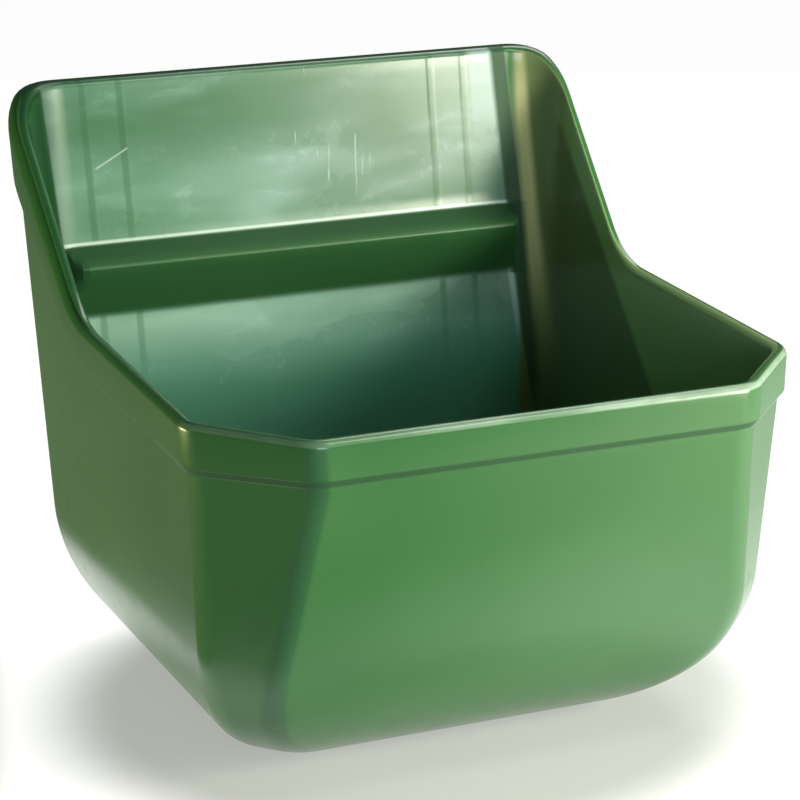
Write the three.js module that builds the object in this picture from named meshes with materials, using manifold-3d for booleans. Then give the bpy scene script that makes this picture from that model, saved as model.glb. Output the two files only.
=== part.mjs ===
// Feed manger: a moulded plastic tub with a high back, hung by its hooked back rim on a steel wall rail.
// Millimetres, +Z up, +X to the right seen from the front. The wall is the plane y = 0 and the manger
// stands out from it towards -Y. The origin is the middle of the rail's back face, on the wall.

import * as THREE from 'three';
import { mergeVertices } from 'three/addons/utils/BufferGeometryUtils.js';
import Module from 'manifold-3d';

const wasm = await Module();
wasm.setup();

// Overall size of the manger, over its band
const WIDTH = 412;
const DEPTH = 421;
const BACK_HEIGHT = 396.5;
const FRONT_HEIGHT = 249;

// Side profile of the rim
const SHOULDER_DISTANCE = 138;
const SHOULDER_HEIGHT = 263;
const SHOULDER_RADIUS = 75;
const CREST_DISTANCE = 4.8;
const CREST_RADIUS = 33;

// Plan corners
const CHAMFER_ACROSS = 59;
const CHAMFER_ALONG = 60;
const CHAMFER_RADIUS = 26;
const BACK_CORNER_RADIUS = 36;
const INNER_BACK_RADIUS = 34;

// Walls, band and rim
const WALL = 6;
const BAND_OUTSET = 4;
const BAND_HEIGHT = 23;
const SIDE_BAND_HEIGHT = 27;
const BAND_SLOPE = 5;
const RIM_ROUNDING = 3.5;
const FLOOR_RADIUS = 105;
const BACK_FLOOR_RADIUS = 60;
const FLOOR_CHAMFER_SHARE = 1.47;
const SIDE_DRAFT = 0.053;
const FRONT_DRAFT = 0.276;
const CHAMFER_DRAFT = 0.072;

// Hooked back rim and the pocket behind the back panel
const SKIRT_THICKNESS = 5;
const SKIRT_DEPTH = 32;
const POCKET_DEPTH = 12;
const HEEL_HEIGHT = 45;

// V-shaped ledge across the inside of the back
const LEDGE_TOP = 282;
const LEDGE_FALL = 10;
const LEDGE_DROP = 40;
const LEDGE_REACH = 27;
const LEDGE_ROUNDING = 2.5;
const LEDGE_WALL = 4.5;
const LEDGE_MARGIN = 22;

// Wall rail
const RAIL_END_MARGIN = 9;
const RAIL_THICKNESS = 3;
const RAIL_PLATE_HEIGHT = 34;
const RAIL_LIP_HEIGHT = 30;
const RAIL_JOG_HEIGHT = 8;
const RAIL_BEND = 2;

// Screws and washers
const SCREW_COUNT = 4;
const SCREW_END_MARGIN = 24;
const SCREW_RADIUS = 4;
const SCREW_LENGTH = 50;
const SCREW_POINT = 8;
const THREAD_LENGTH = 36;
const THREAD_PITCH = 3;
const THREAD_DEPTH = 0.7;
const HEAD_ACROSS_FLATS = 13;
const HEAD_HEIGHT = 5;
const WASHER_RADIUS = 9;
const WASHER_THICKNESS = 1.6;

// Clearances
const SEAT_GAP = 0.3;
const HOLE_CLEARANCE = 0.4;
const SKIRT_CLEARANCE = 0.8;
const OVERRUN = 10;

// Step counts of the curves
const CORNER_STEPS = 6;
const PROFILE_STEPS = 8;
const FLOOR_STEPS = 11;
const ROUND_SIDES = 24;
const TIP_STEPS = 4;

// Rim width and the height at which the drafted walls begin
const RIM_WIDTH = WALL + BAND_OUTSET;
const BACK_RIM_WIDTH = WALL + POCKET_DEPTH;
const DRAFT_TOP = FRONT_HEIGHT - SIDE_BAND_HEIGHT - BAND_SLOPE;

// Heights of the ledge's tip and foot
const LEDGE_TIP = LEDGE_TOP - LEDGE_FALL;
const LEDGE_FOOT = LEDGE_TIP - LEDGE_DROP;

// The rail's top edge carries the underside of the hooked rim
const HOOK_CEILING = BACK_HEIGHT - WALL;
const RAIL_TOP = HOOK_CEILING - SEAT_GAP;
const RAIL_BOTTOM = RAIL_TOP - RAIL_LIP_HEIGHT - RAIL_JOG_HEIGHT - RAIL_PLATE_HEIGHT;
const SCREW_LEVEL = RAIL_BOTTOM + RAIL_PLATE_HEIGHT / 2;

// Corner points become a list of points with an arc in each corner that has a radius
function roundedPath(corners, steps, closed) {
  const points = [];
  const last = corners.length - 1;
  corners.forEach(({ at, radius }, index) => {
    const isEnd = !closed && (index === 0 || index === last);
    if (isEnd || radius === undefined) {
      points.push(at.clone());
      return;
    }
    const before = corners[(index + last) % (last + 1)].at;
    const after = corners[(index + 1) % (last + 1)].at;
    const backward = before.clone().sub(at).normalize();
    const forward = after.clone().sub(at).normalize();
    const halfAngle = Math.acos(THREE.MathUtils.clamp(backward.dot(forward), -1, 1)) / 2;
    const bisector = backward.clone().add(forward).normalize();
    const centre = at.clone().addScaledVector(bisector, radius / Math.sin(halfAngle));
    const tangent = radius / Math.tan(halfAngle);
    const start = at.clone().addScaledVector(backward, tangent).sub(centre);
    const end = at.clone().addScaledVector(forward, tangent).sub(centre);
    const turn = Math.atan2(start.x * end.y - start.y * end.x, start.dot(end));
    for (let step = 0; step <= steps; step += 1) {
      const spoke = start.clone().rotateAround(new THREE.Vector2(), turn * step / steps);
      points.push(centre.clone().add(spoke));
    }
  });
  return points;
}

const vector = (x, y) => new THREE.Vector2(x, y);

// The rim's side profile as (y, z) points from the front to the back
function rimProfile() {
  const slope = (SHOULDER_HEIGHT - FRONT_HEIGHT) / (DEPTH - SHOULDER_DISTANCE);
  return roundedPath([
    { at: vector(-DEPTH - OVERRUN, FRONT_HEIGHT - slope * OVERRUN) },
    { at: vector(-DEPTH + CHAMFER_ALONG, FRONT_HEIGHT + slope * CHAMFER_ALONG) },
    { at: vector(-SHOULDER_DISTANCE, SHOULDER_HEIGHT), radius: SHOULDER_RADIUS },
    { at: vector(-CREST_DISTANCE, BACK_HEIGHT), radius: CREST_RADIUS },
    { at: vector(CREST_RADIUS, BACK_HEIGHT) },
  ], PROFILE_STEPS, false);
}

// A profile moved down square to itself, further at the sides than at the front
function loweredProfile(profile, frontDistance, sideDistance) {
  return profile.map((point, index) => {
    const share = THREE.MathUtils.clamp((point.x + DEPTH) / CHAMFER_ALONG, 0, 1);
    const distance = THREE.MathUtils.lerp(frontDistance, sideDistance, share);
    const before = profile[Math.max(index - 1, 0)];
    const after = profile[Math.min(index + 1, profile.length - 1)];
    const along = after.clone().sub(before).normalize();
    return vector(point.x + along.y * distance, point.y - along.x * distance);
  });
}

function heightAt(profile, y) {
  const next = profile.findIndex((point) => point.x > y);
  if (next < 0) return profile[profile.length - 1].y;
  if (next === 0) return profile[0].y;
  const low = profile[next - 1];
  const high = profile[next];
  return THREE.MathUtils.mapLinear(y, low.x, high.x, low.y, high.y);
}

const RIM = rimProfile();
const BAND_FOOT = loweredProfile(RIM, BAND_HEIGHT, SIDE_BAND_HEIGHT);
const WALL_HEAD = loweredProfile(RIM, BAND_HEIGHT + BAND_SLOPE, SIDE_BAND_HEIGHT + BAND_SLOPE);

// Where the rim bends, as shares of the way along a side between its corners
const SIDE_START = -BACK_CORNER_RADIUS;
const SIDE_END = -DEPTH + CHAMFER_ALONG + CHAMFER_RADIUS / 2;
const SIDE_SHARES = RIM.map((point) => (point.x - SIDE_START) / (SIDE_END - SIDE_START))
  .filter((share) => share > 0 && share < 1)
  .sort((a, b) => a - b);

// The side walls lean outwards all the way up, so the plan narrows downwards
function taper(z) {
  return 1 - (BACK_HEIGHT - z) * Math.tan(SIDE_DRAFT) / (WIDTH / 2);
}

// Plan outline, seen from above, moved in by its own distance at the sides, front, back and chamfers
function planOutline({ side, front, back, chamfer, chamferRadius, backRadius }) {
  const right = WIDTH / 2 - side;
  const near = -DEPTH + front;
  const far = -back;
  const normal = vector(CHAMFER_ALONG, -CHAMFER_ACROSS).normalize();
  const reach = normal.dot(vector(WIDTH / 2, -DEPTH + CHAMFER_ALONG)) - chamfer;
  const sideEnd = (reach - normal.x * right) / normal.y;
  const frontEnd = (reach - normal.y * near) / normal.x;
  const corners = roundedPath([
    { at: vector(right, far), radius: backRadius },
    { at: vector(-right, far), radius: backRadius },
    { at: vector(-right, sideEnd), radius: chamferRadius },
    { at: vector(-frontEnd, near), radius: chamferRadius },
    { at: vector(frontEnd, near), radius: chamferRadius },
    { at: vector(right, sideEnd), radius: chamferRadius },
  ], CORNER_STEPS, true);
  const perCorner = CORNER_STEPS + 1;
  const sideStart = corners[2 * perCorner - 1];
  const sideFinish = corners[2 * perCorner];
  const leftSide = SIDE_SHARES.map((share) => sideStart.clone().lerp(sideFinish, share));
  const rightSide = leftSide.map((point) => vector(-point.x, point.y)).reverse();
  return [
    ...corners.slice(0, 2 * perCorner),
    ...leftSide,
    ...corners.slice(2 * perCorner),
    ...rightSide,
  ];
}

const RIM_PLAN = planOutline({
  side: 0,
  front: 0,
  back: 0,
  chamfer: 0,
  chamferRadius: CHAMFER_RADIUS,
  backRadius: BACK_CORNER_RADIUS,
});

// Heights follow the outermost outline, so that the rim is level across its width
function ring(insets, height) {
  return planOutline(insets).map((point, index) => {
    const z = height(RIM_PLAN[index].y);
    return new THREE.Vector3(point.x * taper(z), point.y, z);
  });
}

function triangulatedCap(points, faceUp) {
  const contour = points.map((point) => vector(point.x, point.y));
  const faces = THREE.ShapeUtils.triangulateShape(contour, []);
  return faceUp ? faces : faces.map(([a, b, c]) => [a, c, b]);
}

// A closed skin through a stack of rings, from the middle of the underside to the middle of the floor
function stackedRings(rings) {
  const count = rings[0].length;
  const positions = rings.flat().flatMap((point) => point.toArray());
  const faces = [];
  for (let level = 0; level < rings.length - 1; level += 1) {
    for (let index = 0; index < count; index += 1) {
      const next = (index + 1) % count;
      const a = level * count + index;
      const b = level * count + next;
      faces.push([a, b, b + count], [a, b + count, a + count]);
    }
  }
  const lastStart = (rings.length - 1) * count;
  faces.push(...triangulatedCap(rings[0], false));
  faces.push(...triangulatedCap(rings[rings.length - 1], true).map((face) => face.map((i) => i + lastStart)));
  const geometry = new THREE.BufferGeometry();
  geometry.setAttribute('position', new THREE.Float32BufferAttribute(positions, 3));
  geometry.setIndex(faces.flat());
  return geometry;
}

// Solids for cutting and joining
function toSolid(geometry) {
  const bare = geometry.clone();
  bare.deleteAttribute('normal');
  bare.deleteAttribute('uv');
  const merged = mergeVertices(bare);
  return new wasm.Manifold(new wasm.Mesh({
    numProp: 3,
    vertProperties: new Float32Array(merged.attributes.position.array),
    triVerts: new Uint32Array(merged.index.array),
  }));
}

function toGeometry(solid) {
  const { vertProperties, triVerts } = solid.getMesh();
  const geometry = new THREE.BufferGeometry();
  geometry.setAttribute('position', new THREE.BufferAttribute(vertProperties, 3));
  geometry.setIndex(new THREE.BufferAttribute(triVerts, 1));
  geometry.computeVertexNormals();
  return geometry;
}

// A section of (y, z) points, made long along X and centred on it
function barAlongX(section, length) {
  const shape = new THREE.Shape(section);
  const geometry = new THREE.ExtrudeGeometry(shape, { depth: length, bevelEnabled: false });
  const turn = new THREE.Matrix4().makeBasis(
    new THREE.Vector3(0, 1, 0),
    new THREE.Vector3(0, 0, 1),
    new THREE.Vector3(1, 0, 0),
  );
  geometry.applyMatrix4(turn);
  return geometry.translate(-length / 2, 0, 0);
}

// The walls lean outwards below the band, and turn into the floor on a large radius
function outerInsets(z, inset, backInset) {
  const drop = DRAFT_TOP - z;
  return {
    side: BAND_OUTSET + inset,
    front: BAND_OUTSET + drop * Math.tan(FRONT_DRAFT) + inset,
    back: backInset,
    chamfer: BAND_OUTSET + drop * Math.tan(CHAMFER_DRAFT) + inset * FLOOR_CHAMFER_SHARE,
    chamferRadius: CHAMFER_RADIUS,
    backRadius: BACK_CORNER_RADIUS,
  };
}

function innerInsets(z, inset, backInset) {
  const outer = outerInsets(z, inset, backInset);
  return {
    ...outer,
    side: outer.side + WALL,
    front: outer.front + WALL,
    back: BACK_RIM_WIDTH + backInset,
    chamfer: outer.chamfer + WALL,
    chamferRadius: CHAMFER_RADIUS - WALL,
    backRadius: INNER_BACK_RADIUS,
  };
}

function tubRings() {
  const rings = [];
  const flat = (z) => () => z;
  for (let step = FLOOR_STEPS; step >= 0; step -= 1) {
    const angle = Math.PI / 2 * step / FLOOR_STEPS;
    const z = FLOOR_RADIUS * (1 - Math.sin(angle));
    const turnedIn = 1 - Math.cos(angle);
    rings.push(ring(outerInsets(z, FLOOR_RADIUS * turnedIn, BACK_FLOOR_RADIUS * turnedIn), flat(z)));
  }
  const wallInsets = outerInsets(DRAFT_TOP, 0, 0);
  const rimInsets = (inset) => ({ ...wallInsets, side: inset, front: inset, back: 0, chamfer: inset });
  const softening = RIM_ROUNDING * (1 - Math.SQRT1_2);
  rings.push(ring(wallInsets, (y) => Math.min(DRAFT_TOP, heightAt(WALL_HEAD, y))));
  rings.push(ring(wallInsets, (y) => heightAt(WALL_HEAD, y)));
  rings.push(ring(rimInsets(0), (y) => heightAt(BAND_FOOT, y)));
  rings.push(ring(rimInsets(0), (y) => heightAt(RIM, y) - RIM_ROUNDING));
  const outerSoft = { ...rimInsets(softening), back: softening };
  rings.push(ring(outerSoft, (y) => heightAt(RIM, y) - softening));
  const outerTop = { ...rimInsets(RIM_ROUNDING), back: RIM_ROUNDING };
  rings.push(ring(outerTop, (y) => heightAt(RIM, y)));
  const lip = innerInsets(DRAFT_TOP, 0, 0);
  const lipInsets = (inset) => ({
    ...lip,
    side: lip.side - inset,
    front: lip.front - inset,
    back: lip.back - inset,
    chamfer: lip.chamfer - inset,
  });
  rings.push(ring(lipInsets(RIM_ROUNDING), (y) => heightAt(RIM, y)));
  rings.push(ring(lipInsets(softening), (y) => heightAt(RIM, y) - softening));
  rings.push(ring(lip, (y) => heightAt(RIM, y) - RIM_ROUNDING));
  rings.push(ring(lip, flat(DRAFT_TOP)));
  const insideRadius = FLOOR_RADIUS - WALL;
  const insideBackRadius = BACK_FLOOR_RADIUS - WALL;
  for (let step = 0; step <= FLOOR_STEPS; step += 1) {
    const angle = Math.PI / 2 * step / FLOOR_STEPS;
    const z = WALL + insideRadius * (1 - Math.sin(angle));
    const turnedIn = 1 - Math.cos(angle);
    rings.push(ring(innerInsets(z, insideRadius * turnedIn, insideBackRadius * turnedIn), flat(z)));
  }
  return rings;
}

// Ledge section: a roof that falls to a rounded tip, and an underside that slopes back to the panel
function ledgeSection() {
  const root = -BACK_RIM_WIDTH + WALL / 2;
  const face = -BACK_RIM_WIDTH;
  const tip = vector(face - LEDGE_REACH, LEDGE_TIP);
  const roof = vector(face, LEDGE_TOP).sub(tip);
  const underside = vector(face, LEDGE_FOOT).sub(tip);
  const stretch = (LEDGE_REACH + WALL / 2) / LEDGE_REACH;
  return roundedPath([
    { at: vector(root, tip.y + roof.y * stretch), radius: 0 },
    { at: tip, radius: LEDGE_ROUNDING },
    { at: vector(root, tip.y + underside.y * stretch), radius: 0 },
  ], TIP_STEPS, false);
}

// The hollow behind the ledge keeps an even wall
function recessSection() {
  const tip = vector(-BACK_RIM_WIDTH - LEDGE_REACH, LEDGE_TIP);
  const roof = vector(-BACK_RIM_WIDTH, LEDGE_TOP).sub(tip).normalize();
  const underside = vector(-BACK_RIM_WIDTH, LEDGE_FOOT).sub(tip).normalize();
  const bisector = roof.clone().add(underside).normalize();
  const halfAngle = roof.angleTo(underside) / 2;
  const innerTip = tip.clone().addScaledVector(bisector, LEDGE_WALL / Math.sin(halfAngle));
  const mouth = -POCKET_DEPTH + OVERRUN / 2;
  const run = mouth - innerTip.x;
  return [
    innerTip,
    vector(mouth, innerTip.y + run * underside.y / underside.x),
    vector(mouth, innerTip.y + run * roof.y / roof.x),
  ];
}

// The pocket lies between the rounded back corners, and narrows downwards with the sides
function pocketHalf(z) {
  return (WIDTH / 2 - BACK_CORNER_RADIUS) * taper(z);
}

function pocketCutter() {
  const halfBottom = pocketHalf(HEEL_HEIGHT);
  const halfTop = pocketHalf(HOOK_CEILING);
  const flank = [
    vector(-halfBottom, HEEL_HEIGHT),
    vector(halfBottom, HEEL_HEIGHT),
    vector(halfTop, HOOK_CEILING),
    vector(-halfTop, HOOK_CEILING),
  ];
  const geometry = new THREE.ExtrudeGeometry(new THREE.Shape(flank), {
    depth: POCKET_DEPTH + OVERRUN,
    bevelEnabled: false,
  });
  geometry.rotateX(Math.PI / 2).translate(0, OVERRUN, 0);
  const skirt = new THREE.BoxGeometry(WIDTH, SKIRT_THICKNESS + OVERRUN, SKIRT_DEPTH);
  skirt.translate(0, (OVERRUN - SKIRT_THICKNESS) / 2, BACK_HEIGHT - SKIRT_DEPTH / 2);
  return toSolid(geometry).subtract(toSolid(skirt));
}

// The ledge stops where the rounded inner back corners begin
function mangerShell() {
  const halfLedge = (WIDTH / 2 - RIM_WIDTH) * taper(LEDGE_TIP) - LEDGE_MARGIN;
  return toGeometry(toSolid(stackedRings(tubRings()))
    .add(toSolid(barAlongX(ledgeSection(), 2 * halfLedge)))
    .subtract(pocketCutter())
    .subtract(toSolid(barAlongX(recessSection(), 2 * (halfLedge - LEDGE_WALL)))));
}

// Rail section: a plate on the wall, a jog outwards, and a lip that stands behind the skirt
function railSection() {
  const lipBack = -SKIRT_THICKNESS - SKIRT_CLEARANCE;
  const lipFront = lipBack - RAIL_THICKNESS;
  const plateTop = RAIL_BOTTOM + RAIL_PLATE_HEIGHT;
  const lipFoot = plateTop + RAIL_JOG_HEIGHT;
  return roundedPath([
    { at: vector(0, RAIL_BOTTOM), radius: 0 },
    { at: vector(0, plateTop), radius: RAIL_BEND },
    { at: vector(lipBack, lipFoot), radius: RAIL_BEND },
    { at: vector(lipBack, RAIL_TOP), radius: RAIL_THICKNESS / 4 },
    { at: vector(lipFront, RAIL_TOP), radius: RAIL_THICKNESS / 4 },
    { at: vector(lipFront, lipFoot), radius: RAIL_BEND },
    { at: vector(-RAIL_THICKNESS, plateTop), radius: RAIL_BEND },
    { at: vector(-RAIL_THICKNESS, RAIL_BOTTOM), radius: 0 },
  ], TIP_STEPS, true);
}

// The rail fits the pocket with a margin at each end, and the screws stand evenly along it
function railLength() {
  return 2 * (pocketHalf(RAIL_BOTTOM) - RAIL_END_MARGIN);
}

function screwPlace(index) {
  const run = railLength() - 2 * SCREW_END_MARGIN;
  return (index / (SCREW_COUNT - 1) - 1 / 2) * run;
}

function wallRail() {
  let rail = toSolid(barAlongX(railSection(), railLength()));
  for (let index = 0; index < SCREW_COUNT; index += 1) {
    const drill = new THREE.CylinderGeometry(
      SCREW_RADIUS + HOLE_CLEARANCE,
      SCREW_RADIUS + HOLE_CLEARANCE,
      2 * OVERRUN,
      ROUND_SIDES,
    );
    drill.translate(screwPlace(index), 0, SCREW_LEVEL);
    rail = rail.subtract(toSolid(drill));
  }
  return toGeometry(rail);
}

function washer() {
  const inner = SCREW_RADIUS + HOLE_CLEARANCE;
  return new THREE.LatheGeometry([
    vector(inner, 0),
    vector(WASHER_RADIUS, 0),
    vector(WASHER_RADIUS, WASHER_THICKNESS),
    vector(inner, WASHER_THICKNESS),
    vector(inner, 0),
  ], ROUND_SIDES);
}

// Screw along +Y from the underside of its head, with the thread as raised rings
function wallScrew() {
  const threadStart = SCREW_LENGTH - THREAD_LENGTH;
  const straightEnd = SCREW_LENGTH - SCREW_POINT;
  const profile = [vector(0, -HEAD_HEIGHT / 2), vector(SCREW_RADIUS, -HEAD_HEIGHT / 2)];
  for (let y = threadStart; y + THREAD_PITCH <= straightEnd; y += THREAD_PITCH) {
    profile.push(vector(SCREW_RADIUS - THREAD_DEPTH, y));
    profile.push(vector(SCREW_RADIUS, y + THREAD_PITCH / 2));
  }
  profile.push(vector(SCREW_RADIUS - THREAD_DEPTH, straightEnd), vector(0, SCREW_LENGTH));
  const shank = new THREE.LatheGeometry(profile, ROUND_SIDES / 2);
  const headRadius = HEAD_ACROSS_FLATS / Math.sqrt(3);
  const head = new THREE.CylinderGeometry(headRadius, headRadius, HEAD_HEIGHT, 6);
  head.translate(0, -HEAD_HEIGHT / 2, 0);
  return toGeometry(toSolid(shank).add(toSolid(head)));
}

function mesh(name, geometry, { color, roughness, metalness }) {
  const piece = new THREE.Mesh(geometry, new THREE.MeshStandardMaterial({ color, roughness, metalness }));
  piece.name = name;
  return piece;
}

const GREEN_PLASTIC = { color: 0x3f7d4c, roughness: 0.3, metalness: 0 };
const GALVANISED_STEEL = { color: 0xa7abae, roughness: 0.45, metalness: 1 };
const ZINC_PLATED_STEEL = { color: 0xc2c4c3, roughness: 0.3, metalness: 1 };

const manger = new THREE.Group();
manger.position.z = -SCREW_LEVEL;
manger.add(mesh('manger_shell', mangerShell(), GREEN_PLASTIC));
manger.add(mesh('wall_rail', wallRail(), GALVANISED_STEEL));

const washerSeat = -RAIL_THICKNESS - SEAT_GAP - WASHER_THICKNESS;
for (let index = 0; index < SCREW_COUNT; index += 1) {
  const ringPiece = mesh(`screw_washer_${index + 1}`, washer(), ZINC_PLATED_STEEL);
  ringPiece.position.set(screwPlace(index), washerSeat, SCREW_LEVEL);
  manger.add(ringPiece);
  const screw = mesh(`wall_screw_${index + 1}`, wallScrew(), ZINC_PLATED_STEEL);
  screw.position.set(screwPlace(index), washerSeat - SEAT_GAP, SCREW_LEVEL);
  manger.add(screw);
}

export default manger;
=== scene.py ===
import math

import bmesh
import bpy
from mathutils import Matrix, Vector


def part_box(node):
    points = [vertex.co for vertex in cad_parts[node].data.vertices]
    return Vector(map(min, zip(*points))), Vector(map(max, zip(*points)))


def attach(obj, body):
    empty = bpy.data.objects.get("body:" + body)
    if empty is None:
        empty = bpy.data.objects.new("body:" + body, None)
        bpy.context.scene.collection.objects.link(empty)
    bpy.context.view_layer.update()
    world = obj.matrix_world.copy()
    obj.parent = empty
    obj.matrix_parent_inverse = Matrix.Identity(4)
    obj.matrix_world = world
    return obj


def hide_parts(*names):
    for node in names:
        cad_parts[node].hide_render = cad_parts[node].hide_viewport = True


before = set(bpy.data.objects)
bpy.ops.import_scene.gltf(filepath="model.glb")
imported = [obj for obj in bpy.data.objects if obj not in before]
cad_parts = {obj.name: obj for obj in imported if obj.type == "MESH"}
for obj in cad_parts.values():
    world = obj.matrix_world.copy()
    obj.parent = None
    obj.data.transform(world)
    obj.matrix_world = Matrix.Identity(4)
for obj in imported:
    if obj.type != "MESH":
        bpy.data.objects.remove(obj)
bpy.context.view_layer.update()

# Metres, +Z up, the wall is y = 0 and the manger stands out towards -Y. Heights are from the underside.
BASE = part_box("manger_shell")[0].z

# Overall size and the side profile of the rim
WIDTH = 0.412
DEPTH = 0.421
BACK_HEIGHT = 0.3965
FRONT_HEIGHT = 0.249
SHOULDER_DISTANCE = 0.138
SHOULDER_HEIGHT = 0.263
SHOULDER_RADIUS = 0.075
CREST_DISTANCE = 0.0046
CREST_RADIUS = 0.033

# Plan corners
CHAMFER_ACROSS = 0.059
CHAMFER_ALONG = 0.060
CHAMFER_RADIUS = 0.026
BACK_CORNER_RADIUS = 0.036
INNER_BACK_RADIUS = 0.034

# Walls, band, rim and floor
WALL = 0.006
BAND_OUTSET = 0.004
BAND_HEIGHT = 0.023
SIDE_BAND_HEIGHT = 0.027
BAND_SLOPE = 0.005
BAND_FOOT_ROUNDING = 0.002
BAND_ROOT_ROUNDING = 0.003
RIM_ROUNDING = 0.0048
LIP_DEPTH = 0.012
FLOOR_RADIUS = 0.105
BACK_FLOOR_RADIUS = 0.060
FLOOR_CHAMFER_SHARE = 1.47
SIDE_DRAFT = 0.053
FRONT_DRAFT = 0.276
CHAMFER_DRAFT = 0.072

# Hooked back rim, and the pocket behind the back panel
SKIRT_THICKNESS = 0.005
SKIRT_DEPTH = 0.032
POCKET_DEPTH = 0.012
POCKET_ROUNDING = 0.0025
HEEL_HEIGHT = 0.045
EDGE_CHAMFER = 0.0012
OVERRUN = 0.010

# Ledge across the inside of the back
LEDGE_TOP = 0.282
LEDGE_FALL = 0.01
LEDGE_DROP = 0.04
LEDGE_REACH = 0.027
LEDGE_ROUNDING = 0.007
LEDGE_FILLET = 0.004
LEDGE_WALL = 0.0045
LEDGE_MARGIN = 0.022
LEDGE_END_ROUNDING = 0.012

# Wall rail, screws and washers
RAIL_END_MARGIN = 0.009
RAIL_THICKNESS = 0.003
RAIL_PLATE_HEIGHT = 0.034
RAIL_LIP_HEIGHT = 0.030
RAIL_JOG_HEIGHT = 0.008
RAIL_BEND = 0.002
RAIL_EDGE = 0.0004
SKIRT_CLEARANCE = 0.0008
SEAT_GAP = 0.0003
SCREW_COUNT = 4
SCREW_END_MARGIN = 0.024
SCREW_RADIUS = 0.004
SCREW_LENGTH = 0.050
SCREW_POINT = 0.008
SCREW_TIP_RADIUS = 1e-5
THREAD_LENGTH = 0.036
THREAD_PITCH = 0.003
THREAD_DEPTH = 0.0007
THREAD_STEEPNESS = 1.6
HEAD_ACROSS_FLATS = 0.013
HEAD_HEIGHT = 0.005
HEAD_CHAMFER = 0.0009
HOLE_CLEARANCE = 0.0004
WASHER_RADIUS = 0.009
WASHER_THICKNESS = 0.0016
WASHER_EDGE = 0.0003

# Step counts
PROFILE_STEPS = 28
CORNER_STEPS = 12
BACK_STEPS = 80
FRONT_STEPS = 12
FLOOR_STEPS = 26
LEDGE_STEPS = (4, 8, 9, 30, 10)
ROUNDING_STEPS = 6
ROUND_SIDES = 96
STEPS_PER_PITCH = 12
SMOOTH_BELOW = math.radians(32)
SOFTEN_ABOVE = math.radians(40)
SOFTEN_STEPS = 3

RIM_WIDTH = WALL + BAND_OUTSET
BACK_RIM_WIDTH = WALL + POCKET_DEPTH
DRAFT_TOP = FRONT_HEIGHT - SIDE_BAND_HEIGHT - BAND_SLOPE
LEDGE_TIP = LEDGE_TOP - LEDGE_FALL
LEDGE_FOOT = LEDGE_TIP - LEDGE_DROP
HOOK_CEILING = BACK_HEIGHT - WALL
RAIL_TOP = HOOK_CEILING - SEAT_GAP
RAIL_BOTTOM = RAIL_TOP - RAIL_LIP_HEIGHT - RAIL_JOG_HEIGHT - RAIL_PLATE_HEIGHT
SCREW_LEVEL = RAIL_BOTTOM + RAIL_PLATE_HEIGHT / 2

# Colours of the plastic, of the marks and tones on it, of the painted shade, light, highlights and reflections
# laid into it, and of the steel
GREEN_DEEP = (0.034, 0.134, 0.038, 1)
GREEN_LIGHT = (0.046, 0.160, 0.046, 1)
# The panel's pale tones: rubbing and a painted sheen
GREEN_WEAR_SHEEN = (0.28, 0.52, 0.40, 1)
PALE_WEAR_SHEEN = (0.41, 0.55, 0.53, 1)
# Painted light on the panel under the ledge
TEAL_PAINTED_LIGHT = (0.48, 0.78, 0.62, 1)
TEAL_TONE = (0.10, 0.33, 0.21, 1)
# Scratches, and the painted highlights at the ledge's root and along the front lip
GREEN_MARK_AND_HIGHLIGHT = (0.66, 0.80, 0.68, 1)
# Painted reflection: an olive tone on the right inside walls
OLIVE_REFLECTION = (0.15, 0.21, 0.085, 1)
# Painted shade: a dark green laid where shade falls
PAINTED_SHADE_GREEN = (0.011, 0.062, 0.018, 1)
CHEEK_PALE_TONE = (0.36, 0.56, 0.22, 1)
# Painted shade on the front's left corner
PAINTED_CORNER_SHADE = (0.015, 0.082, 0.040, 1)
# Painted light on the front
PAINTED_FRONT_LIGHT = (0.50, 0.50, 0.45, 1)
# Painted reflection in the right inner corner
BEIGE_REFLECTION = (0.60, 0.60, 0.28, 1)
ZINC_DARK = (0.36, 0.38, 0.39, 1)
ZINC_LIGHT = (0.56, 0.58, 0.59, 1)
ZINC_DULL = (0.62, 0.62, 0.6, 1)
PLATING_COOL = (0.6, 0.61, 0.6, 1)
PLATING_WARM = (0.72, 0.71, 0.66, 1)

# Patterns: scale, detail, roughness, stretch and distortion of a noise, and in most the ramp it goes through
MOTTLE = ((5, 2), (0.3, 0.7))
CLOUDS = ((8, 2, 0.5, (1, 1, 3.4), 0.4), (0.40, 0.68))
SMUDGES = ((26, 5, 0.65, (1, 1, 1.9), 0.6), (0.50, 0.72))
STREAK_GRAIN = ((30, 2, 0.5, (1, 1, 0.15)), (0.3, 0.6, 0.5))
LIP_GRAIN = ((16, 3), (0.35, 0.65, 0.25, 0.5))
UPRIGHT_SCRATCHES = ((420, 1, 0.5, (1, 1, 1 / 14)), (0.71, 0.80))
GLOSS = ((4, 2), (0.3, 0.75, 0.19, 0.24))
SCUFFS = ((45, 4, 0.65), (0.5, 0.75, 0, 0.05))
ORANGE_PEEL = (260, 2)
ZINC_PATCHES = (30, 5, 0.6)
ZINC_GRAIN = (700, 3)
SPANGLE_SCALE = 160
PLATING_TONES = ((240, 4), (0.35, 0.7))
PLATING_GLOSS = ((180, 5, 0.7), (0.3, 0.75, 0.2, 0.38))
TURNING_MARKS = (1500, 2, 0.5, (1, 6, 1))

# Relief of the marks and patterns: depth and strength
PEEL_RELIEF = (0.00003, 0.3)
FLUTE_RELIEF = (0.0003, 0.25)
MARKS_RELIEF = (0.0002, 0.5)
ZINC_RELIEF = (0.00005, 0.4)
PLATING_RELIEF = (0.00003, 0.4)

# How dull and rough the zinc is, by its patches and crystals
PATCH_DULLING = (0.55, 0.8, 0, 0.4)
PATCH_ROUGHNESS = (0.4, 0.8, 0, 0.12)
CRYSTAL_ROUGHNESS = (0, 1, 0.34, 0.5)

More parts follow.
